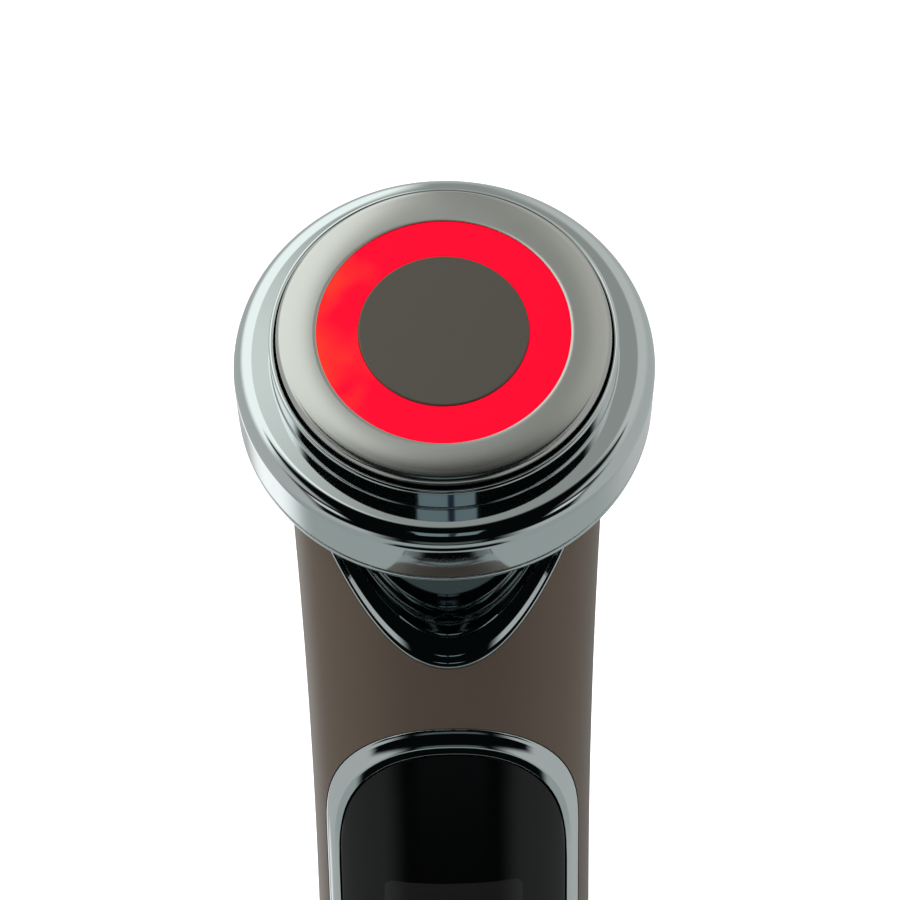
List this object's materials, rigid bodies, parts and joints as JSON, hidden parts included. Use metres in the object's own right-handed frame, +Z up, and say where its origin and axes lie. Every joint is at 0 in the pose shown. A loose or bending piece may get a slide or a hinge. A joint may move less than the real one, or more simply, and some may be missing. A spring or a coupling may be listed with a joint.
{
  "type": "facial skin care wand",
  "caption": "Handheld facial skin care wand: lit two-electrode head with a lift-off pad ring, chrome neck, display and keys on a painted handle.",
  "frame": {"origin": "centre of the base pad's underside, on the handle's axis", "axes": "+Z up along the handle's axis from the base towards the head, -Y the side with the display, +X to the right seen from the display's side"},
  "size_m": [0.052, 0.0459, 0.1828],
  "materials": {
    "taupe_paint": "satin metallic taupe paint on plastic",
    "chrome_trim": "mirror chrome",
    "dark_chrome": "dark mirror chrome",
    "face_steel": "finely polished steel",
    "centre_satin": "satin taupe-grey coated steel",
    "light_red": "translucent diffuser lit red from below",
    "panel_glass": "black gloss acrylic",
    "display_cell": "dark grey display cell, off",
    "key_black": "black gloss",
    "pad_rubber": "matt rubber",
    "seal_rubber": "matt rubber",
    "frame_nylon": "natural nylon",
    "bracket_nylon": "glass-filled nylon",
    "white_plastic": "white plastic",
    "board_green": "solder mask",
    "board_white": "white solder mask",
    "chip_black": "moulded epoxy",
    "coil_copper": "enamelled copper and ferrite",
    "cell_wrap": "blue shrink sleeve over a steel can",
    "bare_steel": "plain steel",
    "gold_pin": "gold plate",
    "led_white": "light emitter package",
    "weight_brass": "sintered heavy alloy",
    "flat_cable": "polyimide flat cable"
  },
  "bodies": {
    "wand": {"front_shell": "taupe_paint", "rear_shell": "taupe_paint", "base_cap": "chrome_trim", "base_pad": "pad_rubber", "base_screws": "bare_steel", "neck_trim": "chrome_trim", "neck_cover": "dark_chrome", "neck_bracket": "bracket_nylon", "bracket_screws": "bare_steel", "display_frame": "chrome_trim", "display_glass": "panel_glass", "display_module": "display_cell", "display_holder": "white_plastic", "key_switches": "chip_black", "main_board": "board_green", "board_chips": "chip_black", "rf_transformer": "coil_copper", "buzzer": "chip_black", "inner_frame": "frame_nylon", "frame_screws": "bare_steel", "battery": "cell_wrap", "battery_tabs": "bare_steel", "charge_board": "board_green", "charge_socket": "bare_steel", "vibration_motor": "bare_steel", "motor_sleeve": "seal_rubber", "head_housing": "chrome_trim", "grip_ring": "seal_rubber", "seat_screws": "bare_steel", "led_board": "board_white", "led_emitters": "led_white", "electrode_carrier": "white_plastic", "carrier_screws": "bare_steel", "contact_pins": "gold_pin", "face_gasket": "seal_rubber", "light_ring": "light_red", "outer_electrode": "face_steel", "centre_electrode": "centre_satin", "head_cable": "flat_cable"},
    "pad_ring": {"pad_ring": "chrome_trim"},
    "power_key": {"power_key": "chrome_trim"},
    "mode_key": {"mode_key": "key_black"},
    "level_key": {"level_key": "key_black"},
    "motor_rotor": {"motor_shaft": "bare_steel", "eccentric_weight": "weight_brass"}
  },
  "joints": [
    {"name": "pad_ring_lift", "type": "slide", "parent": "wand", "child": "pad_ring", "axis": [0, -0.6293, 0.7771], "range_m": [0, 0.02]},
    {"name": "power_key_press", "type": "slide", "parent": "wand", "child": "power_key", "axis": [0, 1, 0], "range_m": [0, 0.0005], "stiffness_N_per_m": 1200, "springref_m": -0.0005},
    {"name": "mode_key_press", "type": "slide", "parent": "wand", "child": "mode_key", "axis": [0, 1, 0], "range_m": [0, 0.0005], "stiffness_N_per_m": 1200, "springref_m": -0.0005},
    {"name": "level_key_press", "type": "slide", "parent": "wand", "child": "level_key", "axis": [0, 1, 0], "range_m": [0, 0.0005], "stiffness_N_per_m": 1200, "springref_m": -0.0005},
    {"name": "motor_spin", "type": "hinge", "parent": "wand", "child": "motor_rotor", "pos_m": [0, 0.00472, 0.112], "axis": [0, 0, 1], "continuous": true}
  ]
}
